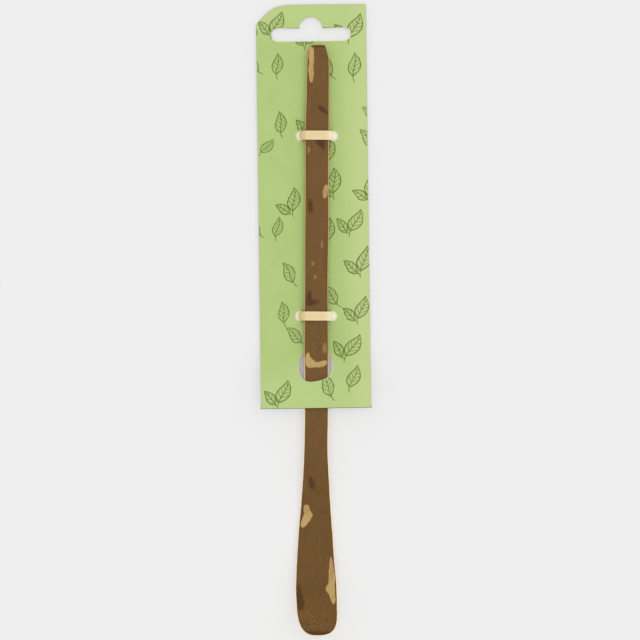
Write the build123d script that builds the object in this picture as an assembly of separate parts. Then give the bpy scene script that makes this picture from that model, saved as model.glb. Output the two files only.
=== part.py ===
from build123d import *
import os
from math import asin, atan, atan2, cos, degrees, hypot, sin, sqrt, tan

# A bamboo tea scoop on its hang card, lying on its back.
# The scoop's handle lies on the printed side of the card under two flat elastic bands, then goes through a
# round hole, so that its neck and bowl come out behind the card's lower edge.
# While the pieces are drawn, x = 0 is the scoop's long axis, y = 0 its handle end and z = 0 the surface it
# all lies on. +Y runs from the bowl to the handle end. The finished pieces are moved together so that the
# origin is the middle of the whole footprint. All sizes are millimetres and degrees.

# Tea scoop: lengths seen from above
HANDLE_LENGTH = 126.0      # straight handle, from its end to the neck
NECK_LENGTH = 24.0         # gentle double bend down to the belly of the bowl
BOWL_LENGTH = 29.4         # upward bend, from the belly to the tip
FLARE_LENGTH = 48.5        # stretch over which the handle widens into the bowl
TIP_STRETCH = 9.5          # full-width stretch between the end of the flare and the tip

# Tea scoop: section
HANDLE_END_WIDTH = 6.6     # skin side, at the handle end
HANDLE_WIDTH = 6.85        # skin side, where the neck begins
BOWL_WIDTH = 11.9          # skin side, at its widest
EDGE_THICKNESS = 2.0       # handle, measured at the edge of the skin
TIP_THICKNESS = 1.0
FLANK = 0.28               # how far each side slopes out from the skin to the underside
UNDERSIDE_CHAMFER = 0.4
SKIN_CROWN = 0.2           # the skin keeps the roundness of the cane
UNDERSIDE_ROUND = 0.06
BOWL_HOLLOW = 0.45         # depth of the dish across the bowl
BOWL_BEND_RADIUS = 54.0

# Tea scoop: ends
END_FLAT = 4.0             # straight part of the handle end
END_LEFT_ROUND = 2.8       # length of the rounded corners of the handle end
END_RIGHT_ROUND = 4.4
END_BEVEL_LENGTH = 0.8
END_BEVEL_DEPTH = 0.5
TIP_LEAN = 0.9             # the tip points a little to the right of the axis
TIP_LEFT_ROUND = 9.4       # length of the rounded corners of the tip, along the bowl
TIP_RIGHT_ROUND = 5.7

# Hang card
CARD_WIDTH = 33.6
CARD_THICKNESS = 0.45
CARD_TURN = 1.0            # the card sits a little askew on the scoop, turned about the round hole
CARD_CORNER_RADIUS = 8.3   # upper left corner, the others are square
CARD_BEND_RADIUS = 7.0     # inside radius of the two bends that lift the lower margin over the scoop
LOWER_MARGIN = 12.9        # centre of the round hole to the lower edge
NECK_BELOW_CARD = 15.0     # lower edge to where the neck begins
HOLE_SIDE_ROOM = 1.6       # round hole, beyond each side of the handle
SLOT_LENGTH = 24.4
SLOT_HEIGHT = 3.9
SLOT_BUMP_RADIUS = 3.5     # half-round notch in the middle of the slot's upper edge
SLOT_FROM_TOP = 7.2        # upper edge of the card to the upper edge of the slot
END_TO_SLOT = 1.2          # handle end to the lower edge of the slot

# Elastic bands
BAND_WIDTH = 2.85
BAND_THICKNESS = 0.4
BAND_LAP = 6.0             # bonded overlap of the band's two ends, behind the card
BAND_SPREAD = 1.4          # skin edge of the handle to the centre of a band hole
BAND_HOLE_ROOM = 0.175     # band hole, beyond each edge of the band
BAND_SHOULDER_RADIUS = 0.5
BAND_FOLD_RADIUS = 0.2
BAND_EDGE_RADIUS = 0.1
UPPER_BAND_FROM_END = 27.7
LOWER_BAND_FROM_HOLE = 15.2

# Clearances
SLIDE_CLEARANCE = 0.15     # between the sliding scoop and what holds it
BELLY_CLEARANCE = 0.1      # between the belly and the surface that the bands rest on


def ease(at, start, end):
    """Goes smoothly from 0 at start to 1 at end."""
    share = min(max((at - start) / (end - start), 0.0), 1.0)
    return share * share * (3.0 - 2.0 * share)


# Drawing aids
cut_margin = HANDLE_WIDTH / 2      # how far a cut runs past what it cuts
section_step = HANDLE_WIDTH / 2    # spacing of the sections along the neck and bowl
neck_lead = 3 * section_step       # last stretch of the handle, drawn together with the neck and bowl

# Layout along the scoop
scoop_length = HANDLE_LENGTH + NECK_LENGTH + BOWL_LENGTH
flare_end = scoop_length - TIP_STRETCH
flare_start = flare_end - FLARE_LENGTH
belly_at = HANDLE_LENGTH + NECK_LENGTH
card_bottom = NECK_BELOW_CARD - HANDLE_LENGTH
slot_bottom = END_TO_SLOT
card_top = slot_bottom + SLOT_HEIGHT + SLOT_FROM_TOP
card_height = card_top - card_bottom
hole_y = card_bottom + LOWER_MARGIN

# Half widths of the handle where it passes the hole and the bands
skin_half = HANDLE_WIDTH / 2
base_half = skin_half + FLANK
flat_half = base_half - UNDERSIDE_CHAMFER
hole_radius = base_half + HOLE_SIDE_ROOM
band_hole_radius = BAND_WIDTH / 2 + BAND_HOLE_ROOM
band_hole_x = skin_half + BAND_SPREAD

# The card climbs from under the handle to over it inside the round hole. The hole is narrower than the
# handle past these distances from its centre, so there the card has to be clear below or above the scoop.
clear_above = sqrt(hole_radius**2 - flat_half**2)
clear_below = sqrt(hole_radius**2 - skin_half**2)
climb = EDGE_THICKNESS + 2 * SLIDE_CLEARANCE
climb_run = clear_above + clear_below
ramp_angle = atan2(climb, climb_run) + asin(CARD_THICKNESS / hypot(climb, climb_run))
outer_bend = CARD_BEND_RADIUS + CARD_THICKNESS
ramp_half = max(clear_above, clear_below) + outer_bend * tan(ramp_angle / 2) * cos(ramp_angle)
ramp_rise = 2 * ramp_half * tan(ramp_angle)

# Heights
card_back = 2 * BAND_THICKNESS
card_front = card_back + CARD_THICKNESS
ramp_board = CARD_THICKNESS / cos(ramp_angle)
ramp_under_scoop = card_back + ramp_rise / 2 - clear_above * tan(ramp_angle) + ramp_board
handle_underside = ramp_under_scoop + SLIDE_CLEARANCE
handle_skin = handle_underside + EDGE_THICKNESS


def thickness(at):
    """Thickness of the scoop at its edge, at a distance from the handle end."""
    return EDGE_THICKNESS + (TIP_THICKNESS - EDGE_THICKNESS) * ease(at, HANDLE_LENGTH, scoop_length)


def dish(at):
    """Share of the bowl's hollow that the scoop has reached."""
    return ease(at, HANDLE_LENGTH, belly_at + BOWL_LENGTH / 2)


def underside_sag(at):
    """How far the middle of the underside hangs below its edges."""
    return UNDERSIDE_ROUND + BOWL_HOLLOW * dish(at)


def half_skin(at):
    """Half the width of the skin."""
    taper = min(at / HANDLE_LENGTH, 1.0)
    handle = HANDLE_END_WIDTH + (HANDLE_WIDTH - HANDLE_END_WIDTH) * taper
    return (handle + (BOWL_WIDTH - HANDLE_WIDTH) * ease(at, flare_start, flare_end)) / 2


def scoop_section(at):
    """Section of the scoop: domed or dished skin, sloping sides, chamfered and slightly round underside."""
    skin = half_skin(at)
    base = skin + FLANK
    deep = thickness(at)
    chamfered = UNDERSIDE_CHAMFER * deep / EDGE_THICKNESS
    flat = base - chamfered
    crown = SKIN_CROWN - (SKIN_CROWN + BOWL_HOLLOW) * dish(at)
    edges = [
        Bezier((-skin, 0), (0, 2 * crown), (skin, 0)),
        Line((skin, 0), (base, chamfered - deep)),
        Line((base, chamfered - deep), (flat, -deep)),
        Bezier((flat, -deep), (0, -deep - 2 * underside_sag(at)), (-flat, -deep)),
        Line((-flat, -deep), (-base, chamfered - deep)),
        Line((-base, chamfered - deep), (-skin, 0)),
    ]
    return make_face(Wire(edges))


def scoop_spine():
    """Edges of the line that the skin follows, in a plane of distance from the handle end and height."""
    belly_skin = BELLY_CLEARANCE + thickness(belly_at) + underside_sag(belly_at)
    drop = handle_skin - belly_skin
    neck_angle = 2 * atan(drop / NECK_LENGTH)
    neck_radius = NECK_LENGTH / 2 / sin(neck_angle)
    bowl_angle = asin(BOWL_LENGTH / BOWL_BEND_RADIUS) + cut_margin / BOWL_BEND_RADIUS
    handle = Line((0, handle_skin), (HANDLE_LENGTH - neck_lead, handle_skin))
    lead = Line(handle @ 1, (HANDLE_LENGTH, handle_skin))
    dip = JernArc(lead @ 1, lead % 1, neck_radius, -degrees(neck_angle))
    sweep = JernArc(dip @ 1, dip % 1, neck_radius, degrees(neck_angle))
    bowl = JernArc(sweep @ 1, sweep % 1, BOWL_BEND_RADIUS, degrees(bowl_angle))
    return handle, lead, dip, sweep, bowl


def placed_section(edge, share):
    """Section of the scoop, square to the spine at a share of the length of one of its edges."""
    spot, heading = edge @ share, edge % share
    plane = Plane((0, -spot.X, spot.Y), x_dir=(1, 0, 0), z_dir=(0, -heading.X, heading.Y))
    return plane * scoop_section(spot.X)


def tea_scoop():
    handle, *curved = scoop_spine()
    blank = loft([placed_section(handle, 0), placed_section(handle, 1)], ruled=True)
    sections = []
    for edge in curved:
        steps = max(2, round(edge.length / section_step))
        sections += [placed_section(edge, step / steps) for step in range(steps)]
    bowl = curved[-1]
    sections.append(placed_section(bowl, 1))
    blank += loft(sections)

    # The handle end has rounded corners and a small bevel on the skin side.
    for side, length in ((-1, END_LEFT_ROUND), (1, END_RIGHT_ROUND)):
        inner, outer = END_FLAT / 2, half_skin(0) + FLANK
        corner = EllipticalCenterArc((inner, -length), outer - inner, length, 0, arc_size=90)
        waste = Polyline(corner @ 1, (inner, cut_margin), (outer + cut_margin, cut_margin),
                         (outer + cut_margin, -length), corner @ 0)
        shape = make_face(Wire(corner.edges() + waste.edges()))
        shape = shape if side > 0 else mirror(shape, Plane.YZ)
        blank -= extrude(shape, handle_skin + cut_margin)
    peak = handle_skin + SKIN_CROWN
    slope = END_BEVEL_DEPTH / END_BEVEL_LENGTH
    bevel = Polyline((-END_BEVEL_LENGTH - cut_margin, peak + cut_margin * slope),
                     (cut_margin, peak - END_BEVEL_DEPTH - cut_margin * slope),
                     (cut_margin, peak + cut_margin), close=True)
    blank -= extrude(Plane.YZ * make_face(bevel), HANDLE_WIDTH, both=True)

    # The tip is rounded square to the bowl's surface: two quarter ellipses that meet at the leaning tip.
    tip_angle = asin(BOWL_LENGTH / BOWL_BEND_RADIUS)
    bowl_low = bowl @ 0
    tip_height = bowl_low.Y + BOWL_BEND_RADIUS * (1 - cos(tip_angle))
    tip_normal = (0, sin(tip_angle), cos(tip_angle))
    tip_plane = Plane((0, -scoop_length, tip_height), x_dir=(1, 0, 0), z_dir=tip_normal)
    outer = BOWL_WIDTH / 2 + FLANK
    for side, length in ((-1, TIP_LEFT_ROUND), (1, TIP_RIGHT_ROUND)):
        lean = side * TIP_LEAN
        corner = EllipticalCenterArc((lean, length), outer - lean, length, 270, arc_size=90)
        waste = Polyline(corner @ 1, (outer + cut_margin, length), (outer + cut_margin, -2 * cut_margin),
                         (lean, -2 * cut_margin), corner @ 0)
        shape = make_face(Wire(corner.edges() + waste.edges()))
        shape = shape if side > 0 else mirror(shape, Plane.YZ)
        blank -= extrude(tip_plane * shape, 2 * cut_margin, both=True)
    return blank


def card_plan():
    """Outline of the card with its slot and holes, seen from the printed side."""
    blank = Pos(0, (card_top + card_bottom) / 2) * Rectangle(CARD_WIDTH, card_height)
    upper_left = blank.vertices().sort_by(lambda corner: corner.X - corner.Y)[0]
    blank = fillet(upper_left, CARD_CORNER_RADIUS)
    slot = Pos(0, slot_bottom + SLOT_HEIGHT / 2) * SlotOverall(SLOT_LENGTH, SLOT_HEIGHT)
    slot += Pos(0, slot_bottom + SLOT_HEIGHT) * Circle(SLOT_BUMP_RADIUS)
    plan = Pos(0, hole_y) * Rot(0, 0, CARD_TURN) * Pos(0, -hole_y) * (blank - slot)
    plan -= Pos(0, hole_y) * Circle(hole_radius)
    for band_y in band_places():
        for side in (-1, 1):
            plan -= Pos(side * band_hole_x, band_y) * Circle(band_hole_radius)
    return plan


def hang_card():
    """Thin board whose lower margin is lifted over the scoop by two bends across the round hole."""
    start = card_top + CARD_WIDTH
    finish = card_bottom - CARD_WIDTH
    lower_bend, upper_bend = hole_y - ramp_half, hole_y + ramp_half
    shift = CARD_THICKNESS * tan(ramp_angle / 2)
    margin_back = card_back + ramp_rise
    margin_front = margin_back + CARD_THICKNESS
    back = FilletPolyline((start, card_back), (upper_bend, card_back), (lower_bend, margin_back),
                          (finish, margin_back), radius=[outer_bend, CARD_BEND_RADIUS])
    front = FilletPolyline((start, card_front), (upper_bend + shift, card_front),
                           (lower_bend + shift, margin_front), (finish, margin_front),
                           radius=[CARD_BEND_RADIUS, outer_bend])
    ends = [Line(back @ 0, front @ 0), Line(back @ 1, front @ 1)]
    profile = make_face(Wire(back.edges() + front.edges() + ends))
    board = extrude(Plane.YZ * profile, CARD_WIDTH, both=True)
    return board & extrude(card_plan(), margin_front + cut_margin)


def band_places():
    """Places of the two bands along the scoop: upper, lower."""
    return -UPPER_BAND_FROM_END, hole_y + LOWER_BAND_FROM_HOLE


def elastic_band(band_y):
    """Flat loop over the handle, down through two holes and across the card's back, with lapped ends."""
    top = handle_skin + SKIN_CROWN + SLIDE_CLEARANCE
    shoulder = skin_half + SLIDE_CLEARANCE
    leg = band_hole_x - BAND_THICKNESS / 2
    right = [(shoulder, top), (leg, card_front), (leg, card_back)]
    left = [(-x, z) for x, z in reversed(right)]
    fold = min(BAND_FOLD_RADIUS, CARD_THICKNESS / 2)
    radii = [BAND_SHOULDER_RADIUS, fold, fold]
    loop = FilletPolyline(*right, *left, radius=radii + radii[::-1], close=True)
    inside = make_face(loop)
    ring = offset(inside, BAND_THICKNESS, kind=Kind.ARC) - inside
    place = Plane((0, band_y, 0), x_dir=(1, 0, 0), z_dir=(0, -1, 0))
    strip = extrude(place * ring, BAND_WIDTH / 2, both=True)
    rounded = min(BAND_EDGE_RADIUS, BAND_THICKNESS / 3)
    strip = fillet(strip.faces().filter_by(Axis.Y).edges(), rounded)
    lap = Pos(0, band_y, BAND_THICKNESS / 2) * Box(BAND_LAP, BAND_WIDTH - 2 * rounded, BAND_THICKNESS)
    return strip + lap


upper_y, lower_y = band_places()
pieces = {
    "tea_scoop": tea_scoop(),
    "hang_card": hang_card(),
    "upper_band": elastic_band(upper_y),
    "lower_band": elastic_band(lower_y),
}

# The origin goes to the middle of the footprint, on the surface that the part lies on.
whole = Compound(list(pieces.values())).bounding_box()
to_origin = Pos(-whole.center().X, -whole.center().Y, -whole.min.Z)

os.makedirs("parts", exist_ok=True)
for name, piece in pieces.items():
    export_step(to_origin * piece, f"parts/{name}.step")
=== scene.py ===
"""Looks of a mottled bamboo tea scoop on its hang card, laid out as an add-on and run as a script."""
from math import asin, atan, cos, pi, radians, sin, tan

import bmesh
import bpy
from bpy.props import FloatProperty, FloatVectorProperty, PointerProperty
from bpy.types import Operator, Panel, PropertyGroup
from mathutils import Matrix, Vector, noise


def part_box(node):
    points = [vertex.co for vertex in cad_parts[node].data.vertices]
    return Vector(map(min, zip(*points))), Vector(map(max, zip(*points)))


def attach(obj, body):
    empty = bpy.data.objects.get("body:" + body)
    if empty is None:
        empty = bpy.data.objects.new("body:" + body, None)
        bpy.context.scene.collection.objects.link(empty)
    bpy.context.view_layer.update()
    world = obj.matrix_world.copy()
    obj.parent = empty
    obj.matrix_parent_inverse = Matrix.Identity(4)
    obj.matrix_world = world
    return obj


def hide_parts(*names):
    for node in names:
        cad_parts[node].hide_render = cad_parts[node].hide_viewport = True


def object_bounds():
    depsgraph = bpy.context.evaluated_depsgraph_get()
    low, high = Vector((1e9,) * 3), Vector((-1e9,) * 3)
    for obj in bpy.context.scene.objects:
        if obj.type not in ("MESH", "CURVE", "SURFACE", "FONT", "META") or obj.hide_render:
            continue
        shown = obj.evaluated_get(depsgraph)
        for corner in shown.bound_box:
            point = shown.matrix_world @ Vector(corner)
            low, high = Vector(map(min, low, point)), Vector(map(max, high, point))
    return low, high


bl_info = {
    "name": "Tea scoop on a hang card",
    "version": (1, 0, 0),
    "blender": (4, 5, 0),
    "location": "View3D > Sidebar > Tea ware",
    "description": "Models a bamboo tea scoop held on a printed card by elastic bands",
    "category": "Add Mesh",
}

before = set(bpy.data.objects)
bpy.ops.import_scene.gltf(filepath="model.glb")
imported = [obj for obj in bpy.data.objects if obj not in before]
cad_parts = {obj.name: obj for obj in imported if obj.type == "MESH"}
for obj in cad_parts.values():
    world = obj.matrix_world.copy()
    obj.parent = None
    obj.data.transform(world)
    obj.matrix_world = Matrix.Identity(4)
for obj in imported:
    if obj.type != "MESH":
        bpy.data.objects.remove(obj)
cad_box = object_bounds()

MM = 0.001

# Mesh density
SCOOP_STATIONS = 420  # sections along the scoop, closer together towards its ends
SKIN_POINTS = 18  # points across the skin, between its rounded edges
UNDERSIDE_POINTS = 10
ARC_STEPS = 10  # steps in a rounded corner of the card or a band
HOLE_STEPS = 72
RAMP_CUTS = 36  # cuts across the bends of the card
BAND_CUTS = 9  # cuts across the width of a band
RUN_CUTS = 16  # cuts along a straight run of a band
RIM_STEPS = 3  # steps in the rounded edges of a band and of its lap
LAP_STEPS = 2
MERGE_GAP = 0.0005 * MM  # points nearer than this are one

# Shares of a length that a rounding takes: just under all there is, so that two arcs never meet
CORNER_SHARE = 0.45  # of a side of the scoop's section, at each of its ends
SLOT_ROUND = 0.499  # of the hang slot's height, at its ends
BUMP_ROUND = 0.999  # of the radius of the slot's notch
CUT_FOOT = 0.125  # of the rounding of the card's cut corner, at the foot of the cut

# Edges that turn by more than this stay sharp
SCOOP_SHARP = radians(50)
CARD_SHARP = radians(28)
BAND_SHARP = radians(40)

# Card and bands
WALL_NORMAL = 0.5  # a face of the board whose normal rises less than this is a cut edge
FLAT_NORMAL = 0.95  # and one whose normal rises more than this is its front or back
BACK_ROUND = 0.5  # share of the front's rounding that the back edge gets
BANDS = {"upper_band": "upper_elastic", "lower_band": "lower_elastic"}
RIM_ANGLE = radians(60)  # the edges of a band that are rounded turn by more than this
RIPPLE = 0.02  # share by which a band's width wanders
RIBS_PER_MM = 4.5
LAP_WIDTH = 0.93  # width and edge rounding of the bonded lap, against the band's
LAP_EDGE = 0.8

# Drawn leaves
HALF_GROWN = 0.74  # smallest and largest growth of a sprig
FULL_GROWN = 1.1
VEIN_PITCH = 1.35  # spacing of the veins, in millimetres
TWIN_SHARE = 0.72  # size of the smaller leaf of a pair, and the angle at which it forks off
TWIN_FORK = radians(64)

# Stage
WHITE = (1.0, 1.0, 1.0)
FLOOR_GAP = 0.02 * MM  # air under the object, which keeps it off the floor's own surface
KEY_FROM = (0.18, 0.0, 1.0)  # where the soft light stands from the object's middle, in metres
SENSOR_WIDTH = 36.0

# How far round the section a point lies
SKIN_MIDDLE = 0.0
SKIN_EDGE = 1.0
SHAVED_EDGE = 1.3
BASE_CORNER = 1.8
FLAT_CORNER = 2.0
UNDERSIDE_MIDDLE = 3.0

# How far the carved sides stand out from an even outline, in millimetres: distance from the handle
# end, left side and right side
CARVED_SIDES = (
    (0.0, -0.5, 0.1),
    (12.0, -0.28, 0.2),
    (24.0, 0.0, 0.18),
    (40.0, -0.03, 0.12),
    (56.0, -0.02, 0.18),
    (72.0, -0.03, 0.02),
    (90.0, -0.04, 0.2),
    (112.0, -0.16, 0.36),
    (124.0, 0.0, 0.25),
    (134.0, 0.06, 0.31),
    (150.0, 0.1, 0.28),
    (156.0, 0.06, 0.28),
    (166.0, -0.05, 0.68),
    (171.0, -0.26, 0.8),
    (180.0, -0.26, 0.92),
)

# Stretches along the scoop where a colour comes in, from none to full, in millimetres from the
# handle end
# Painted shade: a darker brown over the neck and bowl, where they bend down and hollow, ending short of the
# tip
BOWL_SHADE = (104.0, 140.0)
BOWL_SHADE_END = (176.0, 166.0)
TANNED_FLESH = (104.0, 92.0)
DARK_RIM = (168.0, 175.0)
DARK_TIP = (178.0, 179.0)
END_LINE = (0.4, 0.65)
END_LINE_OVER = (1.15, 0.9)
END_LINE_START = (-1.0, -0.6)  # to the right of the axis

# The same on the card, to the right of the round hole and up from it, and inwards from its outline
# Painted light: paler print towards the right, where the light falls more brightly, and on the lifted lower
# margin, whose slope faces the light. The print is also paler towards the top.
LIT_RIGHT = (7.0, 15.0)
PALER_TOP = (97.0, 107.0)
LIT_FOOT = (8.0, -8.0)
# Painted shade greys the sides and top of the outline, and a painted shadow line darkens the lower edge
SHADED_TOP = (104.0, 106.0)
SHADED_SIDES = (1.5, 0.5)
SHADOW_LINE_FOOT = (1.0, 0.4)

# The same on a band, from its middle line and from the scoop's axis
# Painted highlights on the rounded edges, on the lit sides and at the ends in the holes, and painted shade
# on the left side
HIGHLIT_EDGES = (0.95, 1.4)
LIT_SIDES = (2.4, 5.6)
HIGHLIT_ENDS = (5.5, 5.9)
SHADED_LEFT = (-2.9, -3.6)
SHADED_LEFT_OVER = (5.75, 5.25)

# The same on the floor, outwards from the edge of the round hole
OPEN_FLOOR = (1.5, 3.5)

# Marks in the skin, as ellipses that flow together, in millimetres and degrees: distance from the
# handle end, distance to the right of the axis, half length, half width and turn to the right
TAN_PATCHES = (
    (2.8, -1.9, 1.95, 0.84, 0),
    (6.6, -1.75, 2.6, 0.64, 0),
    (9.4, -1.85, 2.2, 0.58, 0),
    (45.0, 2.75, 2.1, 0.8, -8),
    (95.8, -2.45, 1.6, 0.6, 4),
    (97.3, -1.75, 1.3, 1.1, 0),
    (97.9, 0.0, 0.75, 1.5, 0),
    (97.5, 2.3, 1.25, 0.68, 115),
    (142.2, -2.65, 1.4, 0.88, 0),
    (144.6, -2.4, 1.5, 0.95, -50),
    (145.8, -3.0, 2.15, 0.85, -28),
    (160.5, 5.15, 3.6, 0.55, 4),
    (163.8, 5.1, 3.4, 0.85, 3),
    (166.5, 4.4, 0.9, 1.3, -30),
    (168.3, 5.35, 2.4, 0.68, 10),
)
FAINT_PATCHES = (
    (32.4, -2.4, 0.9, 0.5, 0),
    (67.1, -1.0, 0.7, 0.5, 0),
    (71.1, -0.3, 0.6, 0.45, 0),
    (61.0, 1.6, 1.1, 0.35, 0),
    (92.6, 2.6, 1.6, 0.6, 0),
)
# Redder parts of the tan patches
BLUSHED = (
    (45.2, 2.5, 2.2, 0.7, 0),
    (142.3, -2.75, 1.5, 0.8, 0),
    (160.0, 5.2, 3.0, 0.7, 0),
)
DARK_SPOTS = (
    (20.0, 1.8, 2.0, 0.7, 50),
    (29.8, 1.0, 1.0, 1.5, 0),
    (31.0, 1.7, 1.3, 0.7, 20),
    (49.4, -1.9, 2.0, 0.8, 6),
    (77.3, -2.1, 2.1, 0.75, 0),
    (78.9, -1.2, 0.8, 1.9, 8),
    (134.2, -1.15, 1.9, 0.85, 12),
    (168.0, -4.75, 2.7, 0.75, 3),
    (170.6, -4.25, 1.7, 1.0, 0),
)
# Stretches where the skin is speckled, in the same terms
SPECKLED = (
    (89.5, 0.6, 4.0, 2.4, 0),
    (139.0, 3.4, 5.0, 1.6, 0),
    (176.0, 1.2, 3.6, 6.0, 0),
    (163.0, 3.6, 4.0, 1.2, 0),
)
SPOT_SQUARE = 2.4  # how square a mark is, 2 being an ellipse, and how fast it ends
SPOT_FALL = 0.7


def linear(code):
    """Linear colour of a hexadecimal screen colour."""
    parts = [(code >> shift & 255) / 255 for shift in (16, 8, 0)]
    return tuple(part / 12.92 if part <= 0.04045 else ((part + 0.055) / 1.055) ** 2.4 for part in parts)


def size(description, length):
    """A size, given in millimetres and kept in metres."""
    return lambda name: FloatProperty(
        name=name, description=description, default=length * MM, unit="LENGTH", precision=5)


def sizes(description, *lengths):
    """Sizes that belong together, given in millimetres and kept in metres."""
    return lambda name: FloatVectorProperty(
        name=name, description=description, default=[length * MM for length in lengths], unit="LENGTH",
        size=len(lengths), precision=5)


def angle(description, degrees):
    """An angle, given in degrees and kept in radians."""
    return lambda name: FloatProperty(
        name=name, description=description, default=radians(degrees), unit="ROTATION")


def amount(description, default):
    """A plain number."""
    return lambda name: FloatProperty(name=name, description=description, default=default, precision=3)


def tint(description, code):
    """A colour, given as a hexadecimal screen colour."""
    return lambda name: FloatVectorProperty(
        name=name, description=description, default=linear(code), subtype="COLOR", size=3, min=0.0, max=1.0)


def labelled(group):
    """Gives each value of a group its label, made from the name it is kept under."""
    for key, make in group.__annotations__.items():
        group.__annotations__[key] = make(key.replace("_", " ").capitalize())
    return group


def ease(at, start, end):
    """Goes smoothly from 0 at start to 1 at end."""
    share = min(max((at - start) / (end - start), 0.0), 1.0)
    return share * share * (3.0 - 2.0 * share)


def between(start, stop, share):
    """Goes evenly from start to stop."""
    return start + (stop - start) * share


def arc(along, radius):
    """Rise and slope of an arc, at a distance along its first tangent."""
    slope = asin(along / radius)
    return radius * (1 - cos(slope)), slope


def wander(at, pitch, lane):
    """A slow, repeatable drift between about -1 and 1, with its own course in each lane."""
    return noise.noise(Vector((at / pitch, lane, 0.5)))


@labelled
class ScoopLook(PropertyGroup):
    """Sizes and colours of the tea scoop."""

    handle_length: size("Straight handle, from its end to the neck", 126.0)
    neck_length: size("Double bend down to the belly of the bowl", 24.0)
    bowl_length: size("Upward bend, from the belly to the tip", 29.4)
    flare_length: size("Where the handle widens into the bowl", 48.5)
    tip_stretch: size("Full width, from the flare to the tip", 9.5)
    end_width: size("Width of the skin at the handle end", 6.6)
    handle_width: size("Width of the skin where the neck begins", 6.85)
    bowl_width: size("Width of the skin at its widest", 11.9)
    thickness: size("Thickness at the edge of the skin", 2.0)
    tip_thickness: size("Thickness at the tip", 1.0)
    flank: size("How far a side slopes out below the skin", 0.28)
    bowl_flanks: sizes("The same on the left and right of the bowl", 0.34, 0.5)
    chamfer: size("Chamfer along the underside", 0.4)
    crown: size("Roundness kept from the cane", 0.2)
    underside_round: size("Roundness of the underside", 0.06)
    hollow: size("Depth of the dish across the bowl", 0.45)
    bend_radius: size("Radius of the upward bend", 54.0)
    shave: amount("Share of a flank shaved to a slope", 0.75)
    end_inset: size("How far the end is short of the solid's", 0.2)
    end_flat: size("Straight part of the handle end", 3.85)
    end_lean: size("Handle end, right of the axis", 0.28)
    end_square: amount("Shape of the end: 1 is a slant, 2 an ellipse", 1.2)
    end_corners: sizes("Left and right corner of the handle end", 2.4, 4.4)
    end_bevel_length: size("Length of the handle end's bevel", 0.8)
    end_bevel_depth: size("Depth of the handle end's bevel", 0.5)
    tip_lean: size("Tip, right of the axis", 0.9)
    tip_corners: sizes("Left and right corner of the tip", 15.0, 7.4)
    tip_square: amount("Shape of the tip: 2 is an ellipse, more is squarer", 3.0)
    edge_softness: size("Radius of the sanded edges", 0.16)
    carving: size("How far the shaved edges wander", 0.05)
    skin_colour: tint("Brown skin of the bamboo", 0x715128)
    # Painted shade over the neck and bowl, where they bend down and hollow
    bowl_colour: tint("Deeper brown of the neck and bowl", 0x6B4B23)
    patch_colour: tint("Tan patches in the skin", 0xC4A368)
    blush_colour: tint("Redder parts of some patches", 0xB48B5C)
    spot_colour: tint("Dark spots in the skin", 0x482C13)
    flesh_colour: tint("Pale flesh on the shaved sides", 0xFBECD2)
    fibre_colour: tint("Fibre bundles in the flesh", 0xC79F66)
    tanned_colour: tint("Flesh along the handle", 0xC6A552)


@labelled
class CardLook(PropertyGroup):
    """Sizes and colours of the hang card."""

    width: size("Width of the card", 33.6)
    thickness: size("Thickness of the board", 0.45)
    turn: angle("Turn about the round hole", 1.0)
    corner_cut: sizes("Left corner, along the upper edge and down the left", 7.5, 6.0)
    corner_bow: sizes("Where it bows out, in the same terms", 3.5, 2.0)
    corner_radius: size("Rounding of the bow", 2.4)
    slot_length: size("Length of the hang slot", 24.24)
    slot_height: size("Height of the hang slot", 3.95)
    slot_bump: size("Radius of the notch in the slot's upper edge", 3.42)
    slot_from_top: size("Card's upper edge to the slot's", 7.07)
    slot_shift: size("Slot, left of the card's middle", 0.16)
    lower_margin: size("Centre of the round hole to the lower edge", 12.9)
    hole_radius: size("Radius of the round hole", 5.305)
    band_hole_radius: size("Radius of the punched holes for the bands", 1.6)
    band_hole_offset: size("Scoop's axis to the centre of a band hole", 4.825)
    ramp_half: size("Half the length of the slope in the round hole", 5.312)
    ramp_angle: angle("Slope that lifts the lower margin", 18.7)
    bend_radius: size("Bends at both ends of the slope", 7.2)
    flap_reach: size("Centre of the hole to its lower edge", 4.85)
    flap_lean: amount("How much further it reaches on the left", 0.17)
    flap_square: amount("Lower half of the hole: 2 is round", 2.5)
    overhang: size("Upper, lower and left edges, outside the solid's", 0.2)
    edge_softness: size("Width of the rounded die-cut edge", 0.14)
    front_colour: tint("Printed green of the front", 0xB3CB7D)
    # Painted light on the right of the card and on its lifted lower margin, and a paler print towards the
    # top
    faded_colour: tint("Print that has faded towards the edges", 0xC1D38D)
    ink_colour: tint("Darker green of the drawn leaves", 0x567014)
    edge_colour: tint("Pale core of the board", 0xF0ECCB)
    # Painted shade along the outline, and a painted shadow line along the lower edge
    outline_colour: tint("Grey of the handled outline", 0xBDB8A2)
    lower_colour: tint("Darker grey of the free lower edge", 0x3E432D)
    back_colour: tint("Unprinted back of the board", 0xF1EDE1)
    leaf_length: size("Length of a drawn leaf", 7.2)
    leaf_width: size("Width of a drawn leaf", 3.5)
    leaf_pitch: size("Mean spacing of the drawn sprigs", 11.8)
    leaf_room: size("Room that a full-grown sprig needs", 4.4)
    leaf_scatter: amount("How far from even rows, 0 to 1", 0.68)
    leaf_shift: size("Which part of the scatter is printed", 61.0)
    line_width: size("Width of a drawn line", 0.31)


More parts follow.
